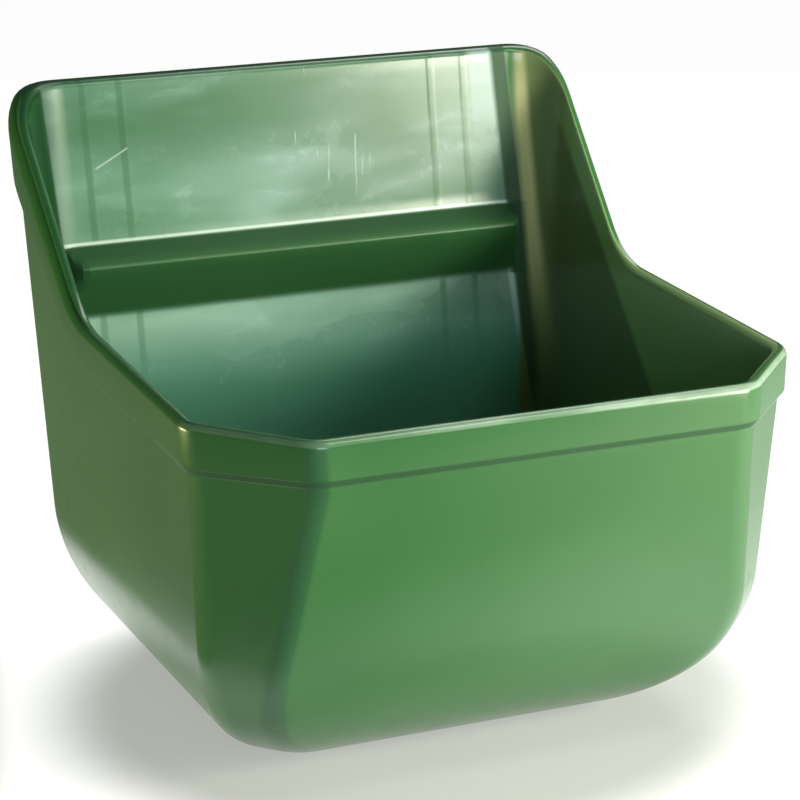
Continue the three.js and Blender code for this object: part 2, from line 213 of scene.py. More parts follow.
# Ramps that bound the plastic's zones: where a zone starts and where it is full, by the surface's own direction
TURNED_IN = (-0.015, -0.06)
TO_FRONT = (0, -0.3)
FLAT_TO_FRONT = (-0.7, -0.9)
UNDERSIDE = (-0.42, -0.56)
UPPER_SIDE = (0.4, 0.8)
LEDGE_SHADE = (0.4, -0.4, 0.2, 0.5)
CORNER_START = (-0.01, -0.14)
CORNER_END = (-0.68, -0.48)
LIP_HIGHLIGHT_START = (0.15, 0.40)
LIP_HIGHLIGHT_END = (0.96, 0.80)

# The same by place, and the sizes of the ledge's and panel's zones. Heights are over the underside.
MARK_EDGE = 0.003
LEDGE_ZONE_DEPTH = 0.05
LEDGE_ZONE_HALF = 0.175
PANEL_SKIN = 0.0045
RIGHT_HALF = (0, 0.1)
LEFT_HALF = (0, -0.1)
LEFT_CORNER = (0, -0.05)
UNDER_BAND_HEIGHTS = (0.17, 0.19)
RIM_TOP_DEPTH = (-0.045, -0.03)
CHEEK_BAND = (0.014, 0.006)
CHEEK_DEPTH = (-0.03, -0.075)
FRONT_DEPTH = (-0.2, -0.25)
FRONT_LIGHT_RISE = (-0.12, 0.12, 0, 0.045)
LIP_HIGHLIGHT_DEPTH = (-0.28, -0.36)
LIP_HIGHLIGHT_HEIGHTS = (0.235, 0.24)
LIP_HIGHLIGHT_RISE = (-0.17, 0.15, 0.3, 1)
TEAL_TOP = (0.23, 0.19)
TEAL_FOOT = (0.06, 0.13)

# The back panel's upright lines, ends and corner strips. They lean a little across the panel.
FLUTE_LEAN = 0.05
FLUTES = (-0.147, -0.121, 0.107, 0.132)
FLUTE_WIDTH = 0.0038
END_LEAN = 0.104
PANEL_ENDS = (-0.1715, 0.1562)
PANEL_FADE = 0.004
# The strip of painted shade at the right inner corner
CORNER_STRIP = (0.1575, 0.167)
CORNER_STRIP_DEPTH = (-0.04, -0.03)
LEFT_END = (-0.150, -0.168)
# Where the painted reflection lies as an upright streak in the right inner corner
STREAK = (0.1738, 0.1768)
STREAK_FADE = 0.005
STREAK_DEPTH = (-0.07, -0.05)
STREAK_FOOT = (0.12, 0.30)
STREAK_TOP = (0.35, 0.39, 1, 0.5)

# How far the panel is painted pale, by rubbing and by a painted sheen, and where a painted shadow line ends it
# low down
WEAR_AND_SHEEN_ACROSS = (FLUTES[0], 0.02, 0.32, 0.37)
WEAR_AND_SHEEN_LOSS_RIGHT = (-0.02, 0.10, 0, 0.20)
WEAR_AND_SHEEN_TOP = (0.330, 0.365, 1, 0.5)
# Painted shadow line: the pale fades out below it
PAINTED_SHADOW_LINE = (0.160, 0.235)
CLOUD_SHARE = 0.26
SMUDGE_SHARE = 0.35
TOP_CORNER = (0.32, 0.375)
TOP_CORNER_HIGHLIGHT_SHARE = 0.55
LOW_END_HIGHLIGHT_SHARE = 0.9
LAST_FLUTE_SHARE = 0.10
THIRD_FLUTE_SHARE = 0.06
FLUTE_WEAR_AND_SHEEN = 0.6
UNDER_LEDGE_ACROSS = (0.14, 0.06, 0.3, 0.85)
UNDER_LEDGE_LIGHT = 0.35

# Scratches above the ledge
SCRATCH_START = Vector((-0.141, 0, BASE + 0.335))
SCRATCH_END = Vector((-0.121, 0, BASE + 0.346))
SCRATCH_WIDTH = 0.0008
UPRIGHT_ZONE = (-0.03, 0.05, 0.02)
UPRIGHT_FADE = 0.01

# Shares of the marks, tones, painted shade and painted highlights in the colour
CHEEK_SHARE = 0.8
DARK_STRIP_SHARE = 0.85
MARKS_SHARE = 0.5
JUNCTION_HIGHLIGHT_SHARE = 0.8
UNDER_BAND_SHARE = 0.7
RIM_TOP_SHARE = 0.6
CORNER_SHADE_SHARE = 0.5

# What each adds to the roughness
WEAR_AND_SHEEN_ROUGHNESS = 0.14
MARKS_ROUGHNESS = 0.2
DARK_STRIP_ROUGHNESS = 0.45
LEFT_END_ROUGHNESS = 0.2
LEDGE_ROUGHNESS = 0.2
UNDER_BAND_ROUGHNESS = 0.5

# The floor glows round the tub, a painted light, and is dim farther off. Close under the tub its glow is
# dimmed, a painted shadow. Each edge of the glow has its direction and ramp.
FLOOR_REACH = 12
FLOOR_GAP = 0.0002
FLOOR_GLOW = 0.95
FLOOR_DIM = 0.07
FLOOR_DEEP = (0.36, 0.36, 0.355, 1)
FLOOR_LIGHT = (0.40, 0.40, 0.395, 1)
FLOOR_FAR = (0.34, 0.36, 0.29, 1)
FLOOR_MOTTLE = (3, 2)
GLOW_EDGES = (
    ((0.97, -0.244, 0), (-0.26, -0.205)),
    ((0.3, 1, 0), (-0.58, -0.42)),
    ((1, -0.593, 0), (0.62, 0.42, 0.45, 1)),
)
TUB_SHADOW_ON_FLOOR = (0.19, 0.27, 0.33, 1)

# The camera looks from the front left and above, as in the photograph
CAMERA_PLACE = Vector((-0.6557, -1.8016, 0.3537))
CAMERA_YAW = 0.38995
CAMERA_PITCH = 0.27504
CAMERA_ROLL = -0.01784
CAMERA_LENS = 124.47
SENSOR_WIDTH = 36
ROOM_LIGHT = 0.05


def rounded_path(corners, steps, closed=False):
    """Corner points, each with its radius, as a list of points with arcs in the corners."""
    points = []
    last = len(corners) - 1
    for index, (place, radius) in enumerate(corners):
        place = Vector(place)
        if radius == 0 or (not closed and index in (0, last)):
            points.append(place)
            continue
        backward = (Vector(corners[index - 1][0]) - place).normalized()
        forward = (Vector(corners[(index + 1) % (last + 1)][0]) - place).normalized()
        half_angle = math.acos(max(-1, min(1, backward.dot(forward)))) / 2
        centre = place + (backward + forward).normalized() * radius / math.sin(half_angle)
        tangent = radius / math.tan(half_angle)
        start = place + backward * tangent - centre
        end = place + forward * tangent - centre
        turn = math.atan2(start.x * end.y - start.y * end.x, start.dot(end))
        for step in range(steps + 1):
            points.append(centre + Matrix.Rotation(turn * step / steps, 2) @ start)
    return points


def rim_profile():
    """The rim's side profile as (y, z) points from the front to the back."""
    slope = (SHOULDER_HEIGHT - FRONT_HEIGHT) / (DEPTH - SHOULDER_DISTANCE)
    return rounded_path([
        ((-DEPTH - OVERRUN, FRONT_HEIGHT - slope * OVERRUN), 0),
        ((-DEPTH + CHAMFER_ALONG, FRONT_HEIGHT + slope * CHAMFER_ALONG), 0),
        ((-SHOULDER_DISTANCE, SHOULDER_HEIGHT), SHOULDER_RADIUS),
        ((-CREST_DISTANCE, BACK_HEIGHT), CREST_RADIUS),
        ((CREST_RADIUS, BACK_HEIGHT), 0),
    ], PROFILE_STEPS)


RIM = rim_profile()


def lowered(front_distance):
    """The rim's profile moved down square to itself. The band is deeper at the sides."""
    deeper = SIDE_BAND_HEIGHT - BAND_HEIGHT if front_distance > BAND_HEIGHT / 2 else 0
    moved = []
    for index, point in enumerate(RIM):
        share = max(0, min(1, (point.x + DEPTH) / CHAMFER_ALONG))
        distance = front_distance + deeper * share
        before = RIM[max(index - 1, 0)]
        after = RIM[min(index + 1, len(RIM) - 1)]
        along = (after - before).normalized()
        moved.append(Vector((point.x + along.y * distance, point.y - along.x * distance)))
    return moved


def height_at(profile, y):
    for low, high in zip(profile, profile[1:]):
        if high.x > y:
            share = (y - low.x) / max(high.x - low.x, 1e-9)
            return low.y + (high.y - low.y) * max(share, 0)
    return profile[-1].y


def taper(z):
    """The side walls lean outwards all the way up, so the plan narrows downwards."""
    return 1 - (BACK_HEIGHT - z) * math.tan(SIDE_DRAFT) / (WIDTH / 2)


def side_shares():
    start = -BACK_CORNER_RADIUS
    end = -DEPTH + CHAMFER_ALONG + CHAMFER_RADIUS / 2
    shares = [(point.x - start) / (end - start) for point in RIM]
    return sorted(share for share in shares if 0 < share < 1)


def end_shares(steps):
    """Shares of a run, close together at its two ends."""
    return [(1 - math.cos(math.pi * step / steps)) / 2 for step in range(1, steps)]


SIDE_SHARES = side_shares()


def run(start, end, shares):
    return [start.lerp(end, share) for share in shares]


def plan_outline(side, front, back, chamfer, chamfer_radius, back_radius):
    """Outline seen from above, moved in by its own distance at each kind of wall."""
    right = WIDTH / 2 - side
    near = -DEPTH + front
    far = -back
    normal = Vector((CHAMFER_ALONG, -CHAMFER_ACROSS)).normalized()
    reach = normal.dot(Vector((WIDTH / 2, -DEPTH + CHAMFER_ALONG))) - chamfer
    side_end = (reach - normal.x * right) / normal.y
    front_end = (reach - normal.y * near) / normal.x
    corners = rounded_path([
        ((right, far), back_radius),
        ((-right, far), back_radius),
        ((-right, side_end), chamfer_radius),
        ((-front_end, near), chamfer_radius),
        ((front_end, near), chamfer_radius),
        ((right, side_end), chamfer_radius),
    ], CORNER_STEPS, closed=True)
    size = CORNER_STEPS + 1
    arcs = [corners[size * index:size * (index + 1)] for index in range(6)]
    chamfer_shares = end_shares(FRONT_STEPS)
    left_run = run(arcs[1][-1], arcs[2][0], SIDE_SHARES)
    right_run = [Vector((-point.x, point.y)) for point in reversed(left_run)]
    return [
        *arcs[0],
        *run(arcs[0][-1], arcs[1][0], end_shares(BACK_STEPS)),
        *arcs[1],
        *left_run,
        *arcs[2],
        *run(arcs[2][-1], arcs[3][0], chamfer_shares),
        *arcs[3],
        *run(arcs[3][-1], arcs[4][0], chamfer_shares),
        *arcs[4],
        *run(arcs[4][-1], arcs[5][0], chamfer_shares),
        *arcs[5],
        *right_run,
    ]


RIM_PLAN = plan_outline(0, 0, 0, 0, CHAMFER_RADIUS, BACK_CORNER_RADIUS)


def ring(insets, height):
    """Heights follow the outermost outline, so that the rim is level across its width."""
    points = []
    for place, rim_place in zip(plan_outline(**insets), RIM_PLAN):
        z = height(rim_place.y)
        points.append(Vector((place.x * taper(z), place.y, z)))
    return points


def outer_insets(z, inset, back_inset):
    drop = DRAFT_TOP - z
    return {
        "side": BAND_OUTSET + inset,
        "front": BAND_OUTSET + drop * math.tan(FRONT_DRAFT) + inset,
        "back": back_inset,
        "chamfer": BAND_OUTSET + drop * math.tan(CHAMFER_DRAFT) + inset * FLOOR_CHAMFER_SHARE,
        "chamfer_radius": CHAMFER_RADIUS,
        "back_radius": BACK_CORNER_RADIUS,
    }


def inner_insets(z, inset, back_inset):
    outer = outer_insets(z, inset, back_inset)
    return {
        "side": outer["side"] + WALL,
        "front": outer["front"] + WALL,
        "back": BACK_RIM_WIDTH + back_inset,
        "chamfer": outer["chamfer"] + WALL,
        "chamfer_radius": CHAMFER_RADIUS - WALL,
        "back_radius": INNER_BACK_RADIUS,
    }


def floor_arc(radius, back_radius):
    """Height, inset and back inset of each ring of the large curve between the walls and the floor."""
    for step in range(FLOOR_STEPS + 1):
        angle = math.pi / 2 * step / FLOOR_STEPS
        turned_in = 1 - math.cos(angle)
        yield radius * (1 - math.sin(angle)), radius * turned_in, back_radius * turned_in


def smooth_min(a, b, width):
    overlap = max(width - abs(a - b), 0) / width
    return min(a, b) - overlap * overlap * width / 4


def half_ledge():
    return (WIDTH / 2 - RIM_WIDTH) * taper(LEDGE_TIP) - LEDGE_MARGIN


def half_pocket(z):
    return (WIDTH / 2 - BACK_CORNER_RADIUS) * taper(max(z, HEEL_HEIGHT))


def ledge_depth(x, z):
    """How far the ledge stands out of the back panel: an underside, a roof and two steep ends."""
    underside = (z - LEDGE_FOOT) * LEDGE_REACH / (LEDGE_TIP - LEDGE_FOOT)
    roof = (LEDGE_TOP - z) * LEDGE_REACH / (LEDGE_TOP - LEDGE_TIP)
    inward = max(0, min(1, (half_ledge() - abs(x)) / LEDGE_END_ROUNDING))
    end = LEDGE_REACH * math.sqrt(inward * (2 - inward))
    body = smooth_min(smooth_min(underside, roof, LEDGE_ROUNDING), end, LEDGE_ROUNDING)
    return -smooth_min(-body, 0, LEDGE_FILLET)


def with_ledge(points):
    moved = []
    for point in points:
        face = -BACK_RIM_WIDTH - ledge_depth(point.x, point.z)
        y = min(point.y, face) if point.y > -SHOULDER_DISTANCE else point.y
        moved.append(Vector((point.x, y, point.z)))
    return moved


def ledge_levels():
    """Heights of the back panel's rings, close together where the ledge turns."""
    turns = (
        DRAFT_TOP,
        LEDGE_FOOT - LEDGE_FILLET,
        LEDGE_FOOT + LEDGE_FILLET,
        LEDGE_TIP - LEDGE_ROUNDING,
        LEDGE_TOP + LEDGE_FILLET / 2,
        BACK_HEIGHT - LIP_DEPTH,
    )
    levels = []
    for low, high, steps in zip(turns, turns[1:], LEDGE_STEPS):
        levels += [low + (high - low) * step / steps for step in range(steps)]
    return levels


def rim_rings():
    """Rings over the band and the rim, from the wall outside to the wall inside."""
    outside = rounded_path([
        ((BAND_OUTSET, BAND_HEIGHT + 2 * BAND_SLOPE), 0),
        ((BAND_OUTSET, BAND_HEIGHT + BAND_SLOPE), BAND_ROOT_ROUNDING),
        ((0, BAND_HEIGHT), BAND_FOOT_ROUNDING),
        ((0, 0), RIM_ROUNDING),
        ((RIM_WIDTH / 2, 0), 0),
    ], ROUNDING_STEPS)
    inside = rounded_path([
        ((RIM_WIDTH / 2, 0), 0),
        ((RIM_WIDTH, 0), RIM_ROUNDING),
        ((RIM_WIDTH, LIP_DEPTH), 0),
    ], ROUNDING_STEPS)
    rings = []
    for inset, drop in outside[1:]:
        back = inset if drop < RIM_ROUNDING else 0
        profile = lowered(drop)
        insets = dict(side=inset, front=inset, back=back, chamfer=inset)
        insets.update(chamfer_radius=CHAMFER_RADIUS, back_radius=BACK_CORNER_RADIUS)
        rings.append(ring(insets, lambda y: height_at(profile, y)))
    for inset, drop in inside[1:]:
        back = inset + BACK_RIM_WIDTH - RIM_WIDTH
        insets = dict(side=inset, front=inset, back=back, chamfer=inset)
        insets.update(chamfer_radius=CHAMFER_RADIUS - WALL, back_radius=INNER_BACK_RADIUS)
        rings.append(ring(insets, lambda y: height_at(RIM, y) - drop))
    return rings


def tub_rings():
    rings = []
    for z, inset, back_inset in reversed(list(floor_arc(FLOOR_RADIUS, BACK_FLOOR_RADIUS))):
        rings.append(ring(outer_insets(z, inset, back_inset), lambda y: z))
    wall = outer_insets(DRAFT_TOP, 0, 0)
    head = lowered(BAND_HEIGHT + BAND_SLOPE + BAND_ROOT_ROUNDING / 2)
    rings.append(ring(wall, lambda y: min(DRAFT_TOP, height_at(head, y))))
    rings += rim_rings()
    lip = inner_insets(DRAFT_TOP, 0, 0)
    top = BACK_HEIGHT - LIP_DEPTH
    for level in reversed(ledge_levels()):
        share = (level - DRAFT_TOP) / (top - DRAFT_TOP)
        rings.append(with_ledge(ring(lip, lambda y: (
            DRAFT_TOP + (height_at(RIM, y) - LIP_DEPTH - DRAFT_TOP) * share))))
    for z, inset, back_inset in floor_arc(FLOOR_RADIUS - WALL, BACK_FLOOR_RADIUS - WALL):
        height = WALL + z
        rings.append(ring(inner_insets(height, inset, back_inset), lambda y: height))
    return rings


def new_object(name, build):
    mesh = bpy.data.meshes.new(name)
    work = bmesh.new()
    build(work)
    bmesh.ops.recalc_face_normals(work, faces=work.faces[:])
    work.to_mesh(mesh)
    work.free()
    piece = bpy.data.objects.new(name, mesh)
    bpy.context.scene.collection.objects.link(piece)
    return piece


def vertex_rows(work, rings):
    return [[work.verts.new(point + Vector((0, 0, BASE))) for point in points] for points in rings]


def stack(work, rings):
    """A closed skin through rings of equal length, with a flat cap at each end."""
    rows = vertex_rows(work, rings)
    for low, high in zip(rows, rows[1:]):
        for index in range(len(low)):
            after = (index + 1) % len(low)
            work.faces.new((low[index], low[after], high[after], high[index]))
    work.faces.new(rows[0])
    work.faces.new(rows[-1])


def bar_along_x(work, section, half_at):
    """A section of (y, z) points made long along X. half_at gives half the length at a height."""
    stack(work, [[Vector((half_at(z) * sign, y, z)) for y, z in section] for sign in (-1, 1)])


def pocket_section():
    lip = BACK_HEIGHT - SKIRT_DEPTH
    return rounded_path([
        ((OVERRUN, HEEL_HEIGHT - OVERRUN - EDGE_CHAMFER), 0),
        ((-EDGE_CHAMFER, HEEL_HEIGHT), 0),
        ((-POCKET_DEPTH, HEEL_HEIGHT), POCKET_ROUNDING),
        ((-POCKET_DEPTH, HOOK_CEILING), POCKET_ROUNDING),
        ((-SKIRT_THICKNESS, HOOK_CEILING), POCKET_ROUNDING / 4),
        ((-SKIRT_THICKNESS, lip), EDGE_CHAMFER),
        ((-EDGE_CHAMFER, lip), 0),
        ((OVERRUN, lip + OVERRUN + EDGE_CHAMFER), 0),
    ], ROUNDING_STEPS, closed=True)


def recess_section():
    """The hollow behind the ledge, which leaves an even wall."""
    tip = Vector((-BACK_RIM_WIDTH - LEDGE_REACH, LEDGE_TIP))
    roof = (Vector((-BACK_RIM_WIDTH, LEDGE_TOP)) - tip).normalized()
    underside = (Vector((-BACK_RIM_WIDTH, LEDGE_FOOT)) - tip).normalized()
    half_angle = roof.angle(underside) / 2
    inner_tip = tip + (roof + underside).normalized() * LEDGE_WALL / math.sin(half_angle)
    mouth = -POCKET_DEPTH + OVERRUN / 2
    reach = mouth - inner_tip.x
    return rounded_path([
        (inner_tip, LEDGE_WALL / 2),
        ((mouth, inner_tip.y + reach * underside.y / underside.x), 0),
        ((mouth, inner_tip.y + reach * roof.y / roof.x), 0),
    ], ROUNDING_STEPS, closed=True)


def cut(piece, *cutters):
    """Cuts the cutters out of the piece and applies the result."""
    for cutter in cutters:
        tool = piece.modifiers.new("cut", "BOOLEAN")
        tool.operation = "DIFFERENCE"
        tool.solver = "EXACT"
        tool.object = cutter
    apply_modifiers(piece)
    for cutter in cutters:
        bpy.data.objects.remove(cutter)


def apply_modifiers(piece):
    graph = bpy.context.evaluated_depsgraph_get()
    result = bpy.data.meshes.new_from_object(piece.evaluated_get(graph))
    piece.modifiers.clear()
    piece.data = result


def soften_edges(piece, width):
    """A small round on every sharp edge."""
    bevel = piece.modifiers.new("edges", "BEVEL")
    bevel.width = width
    bevel.segments = SOFTEN_STEPS
    bevel.limit_method = "ANGLE"
    bevel.angle_limit = SOFTEN_ABOVE
    apply_modifiers(piece)


def smooth_shading(piece):
    work = bmesh.new()
    work.from_mesh(piece.data)
    for face in work.faces:
        face.smooth = True
    for edge in work.edges:
        edge.smooth = edge.calc_face_angle(0) < SMOOTH_BELOW
    work.to_mesh(piece.data)
    work.free()


def finish_piece(piece, body, node, material):
    smooth_shading(piece)
    piece.data.materials.clear()
    piece.data.materials.append(material)
    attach(piece, body)
    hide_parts(node)


def make_shell(material):
    shell = new_object("moulded_tub", lambda work: stack(work, tub_rings()))
    pocket = new_object("pocket_cutter", lambda work: bar_along_x(
        work, pocket_section(), half_pocket))
    recess = new_object("recess_cutter", lambda work: bar_along_x(
        work, recess_section(), lambda z: half_ledge() - LEDGE_WALL))
    cut(shell, pocket, recess)
    finish_piece(shell, "manger", "manger_shell", material)


def rail_section():
    lip_back = -SKIRT_THICKNESS - SKIRT_CLEARANCE
    lip_front = lip_back - RAIL_THICKNESS
    plate_top = RAIL_BOTTOM + RAIL_PLATE_HEIGHT
    lip_foot = plate_top + RAIL_JOG_HEIGHT
    return rounded_path([
        ((0, RAIL_BOTTOM), RAIL_EDGE),
        ((0, plate_top), RAIL_BEND),
        ((lip_back, lip_foot), RAIL_BEND),
        ((lip_back, RAIL_TOP), RAIL_THICKNESS / 4),
        ((lip_front, RAIL_TOP), RAIL_THICKNESS / 4),
        ((lip_front, lip_foot), RAIL_BEND),
        ((-RAIL_THICKNESS, plate_top), RAIL_BEND),
        ((-RAIL_THICKNESS, RAIL_BOTTOM), RAIL_EDGE),
    ], ROUNDING_STEPS, closed=True)


def half_rail(z):
    return half_pocket(RAIL_BOTTOM) - RAIL_END_MARGIN


def screw_place(index):
    reach = half_rail(SCREW_LEVEL) - SCREW_END_MARGIN
    return (2 * index / (SCREW_COUNT - 1) - 1) * reach


def round_ring(x, y, radius_at):
    """A ring round an axis along Y, with a radius for each angle."""
    points = []
    for index in range(ROUND_SIDES):
        angle = 2 * math.pi * index / ROUND_SIDES
        radius = radius_at(angle)
        points.append(Vector((x + radius * math.cos(angle), y, SCREW_LEVEL + radius * math.sin(angle))))
    return points


def make_rail(material):
    rail = new_object("steel_rail", lambda work: bar_along_x(work, rail_section(), half_rail))
    drills = []
    for index in range(SCREW_COUNT):
        drills.append(new_object("drill", lambda work: stack(work, [
            round_ring(screw_place(index), y, lambda angle: SCREW_RADIUS + HOLE_CLEARANCE)
            for y in (-OVERRUN, OVERRUN)])))
    cut(rail, *drills)
    soften_edges(rail, RAIL_EDGE)
    finish_piece(rail, "rail", "wall_rail", material)


def screw_rings(x, seat):
    """From the screw's point in the wall to the top of its head."""
    rings = []
    thread_start = SCREW_LENGTH - THREAD_LENGTH
    step = THREAD_PITCH / STEPS_PER_PITCH
    count = round(THREAD_LENGTH / step)
    root = SCREW_RADIUS - THREAD_DEPTH

    def threaded(along):
        fade_in = min(1, (along - thread_start) / THREAD_PITCH)
        point = min(1, (SCREW_LENGTH - along) / SCREW_POINT)

        def radius(angle):
            turn = (along / THREAD_PITCH + angle / (2 * math.pi)) % 1
            crest = max(0, 1 - abs(2 * turn - 1) * THREAD_STEEPNESS)
            full = root + THREAD_DEPTH * crest
            return max((SCREW_RADIUS + (full - SCREW_RADIUS) * fade_in) * point, SCREW_TIP_RADIUS)
        return radius

    for index in range(count):
        along = SCREW_LENGTH - index * step
        rings.append(round_ring(x, seat + along, threaded(along)))
    flat = HEAD_ACROSS_FLATS / 2

    def hexagon(limit):
        def radius(angle):
            from_flat = (angle + math.pi / 6) % (math.pi / 3) - math.pi / 6
            return min(flat / math.cos(from_flat), limit)
        return radius

    corner = flat / math.cos(math.pi / 6)
    rings.append(round_ring(x, seat + thread_start, lambda angle: SCREW_RADIUS))
    rings.append(round_ring(x, seat, lambda angle: SCREW_RADIUS))
    rings.append(round_ring(x, seat, hexagon(corner - HEAD_CHAMFER / 3)))
    rings.append(round_ring(x, seat - HEAD_CHAMFER / 3, hexagon(corner)))
    rings.append(round_ring(x, seat - HEAD_HEIGHT + HEAD_CHAMFER, hexagon(corner)))
    rings.append(round_ring(x, seat - HEAD_HEIGHT + HEAD_CHAMFER / 4, hexagon(flat)))
    rings.append(round_ring(x, seat - HEAD_HEIGHT, hexagon(flat - HEAD_CHAMFER / 3)))
    return rings


def washer_loop(x, seat):
    """The washer's own section, taken round as rings from hole to rim and back."""
    inner = SCREW_RADIUS + HOLE_CLEARANCE
    back = seat + WASHER_THICKNESS
    section = rounded_path([
        ((inner, seat), WASHER_EDGE),
        ((WASHER_RADIUS, seat), WASHER_EDGE),
        ((WASHER_RADIUS, back), WASHER_EDGE),
        ((inner, back), WASHER_EDGE),
    ], ROUNDING_STEPS, closed=True)
    return [round_ring(x, y, lambda angle: radius) for radius, y in section]


def ring_loop(work, rings):
    """A closed skin whose last ring joins the first."""
    rows = vertex_rows(work, rings)
    for low, high in zip(rows, rows[1:] + rows[:1]):
        for index in range(len(low)):
            after = (index + 1) % len(low)
            work.faces.new((low[index], low[after], high[after], high[index]))


def make_fixings(material):
    seat = -RAIL_THICKNESS - SEAT_GAP - WASHER_THICKNESS
    for index in range(SCREW_COUNT):
        x = screw_place(index)
        number = index + 1
        washer = new_object(f"round_washer_{number}", lambda work: ring_loop(
            work, washer_loop(x, seat)))
        finish_piece(washer, "rail", f"screw_washer_{number}", material)
        screw = new_object(f"hex_screw_{number}", lambda work: stack(
            work, screw_rings(x, seat - SEAT_GAP)))
        finish_piece(screw, "rail", f"wall_screw_{number}", material)


class Shader:
    """A short way to write a node material."""

    def __init__(self, name):
        self.material = bpy.data.materials.new(name)
        self.material.use_nodes = True
        self.tree = self.material.node_tree
        self.surface = self.tree.nodes["Principled BSDF"]
        places = self.tree.nodes.new("ShaderNodeTexCoord")
        self.place = places.outputs["Object"]
        self.facing = places.outputs["Normal"]

    def put(self, socket, value):
        if isinstance(value, bpy.types.NodeSocket):
            self.tree.links.new(value, socket)
        else:
            socket.default_value = value

    def set(self, **values):
        for name, value in values.items():
            self.put(self.surface.inputs[name.replace("_", " ")], value)

    def noise(self, scale, detail=3, roughness=0.5, stretch=(1, 1, 1), distortion=0):
        stretched = self.tree.nodes.new("ShaderNodeMapping")
        self.put(stretched.inputs["Vector"], self.place)
        self.put(stretched.inputs["Scale"], stretch)
        node = self.tree.nodes.new("ShaderNodeTexNoise")
        self.put(node.inputs["Vector"], stretched.outputs["Vector"])
        self.put(node.inputs["Scale"], scale)
        self.put(node.inputs["Detail"], detail)
        self.put(node.inputs["Roughness"], roughness)
        self.put(node.inputs["Distortion"], distortion)
        return node.outputs["Fac"]

    def pattern(self, noise, ramp):
        return self.ramp(self.noise(*noise), *ramp)

    def by_place(self, operation, vector):
        node = self.tree.nodes.new("ShaderNodeVectorMath")
        node.operation = operation
        self.put(node.inputs[0], self.place)
        self.put(node.inputs[1], vector)
        return node.outputs["Value"]

    def along(self, direction):
        """How far the place lies along a direction."""
        return self.by_place("DOT_PRODUCT", direction)

    def ramp(self, value, low, high, to_low=0.0, to_high=1.0, smooth=True):
        node = self.tree.nodes.new("ShaderNodeMapRange")
        node.interpolation_type = "SMOOTHSTEP" if smooth else "LINEAR"
        self.put(node.inputs["Value"], value)
        for name, number in (("From Min", low), ("From Max", high), ("To Min", to_low), ("To Max", to_high)):
            self.put(node.inputs[name], number)
        return node.outputs["Result"]

    def math(self, operation, *values):
        """An operation on two values, or one after another on more."""
        result = values[0]
        for value in values[1:]:
            node = self.tree.nodes.new("ShaderNodeMath")
            node.operation = operation
            self.put(node.inputs[0], result)
            self.put(node.inputs[1], value)
            result = node.outputs["Value"]
        return result

    def times(self, *values):
        return self.math("MULTIPLY", *values)

    def plus(self, *values):
        return self.math("ADD", *values)

    def most(self, *values):
        return self.math("MAXIMUM", *values)

    def mix(self, share, first, second):
        node = self.tree.nodes.new("ShaderNodeMix")
        node.data_type = "RGBA"
        self.put(node.inputs["Factor"], share)
        self.put(node.inputs["A"], first)
        self.put(node.inputs["B"], second)
        return node.outputs["Result"]

    def overlays(self, tone, *overlays):
        """Lays colours over a tone: tones, marks, and painted shade, light, highlights and reflections. Each
        has its share and its colour.
        """
        for share, colour in overlays:
            tone = self.mix(share, tone, colour)
        return tone

    def axes(self, vector):
        node = self.tree.nodes.new("ShaderNodeSeparateXYZ")
        self.put(node.inputs["Vector"], vector)
        return node.outputs["X"], node.outputs["Y"], node.outputs["Z"]

    def bump(self, height, depth, strength, under=None):
        node = self.tree.nodes.new("ShaderNodeBump")
        self.put(node.inputs["Height"], height)
        self.put(node.inputs["Distance"], depth)
        self.put(node.inputs["Strength"], strength)
        if under is not None:
            self.put(node.inputs["Normal"], under)
        return node.outputs["Normal"]

    def line_at(self, value, centre, width):
        """One on a line, fading to nothing a width away from it."""
        away = self.math("ABSOLUTE", self.math("SUBTRACT", value, centre), 0)
        return self.ramp(away, width, width / 4)

    def band(self, value, low, high, fade=MARK_EDGE):
        """One between two values, fading outside them."""
        return self.times(self.ramp(value, low - fade, low), self.ramp(value, high + fade, high))


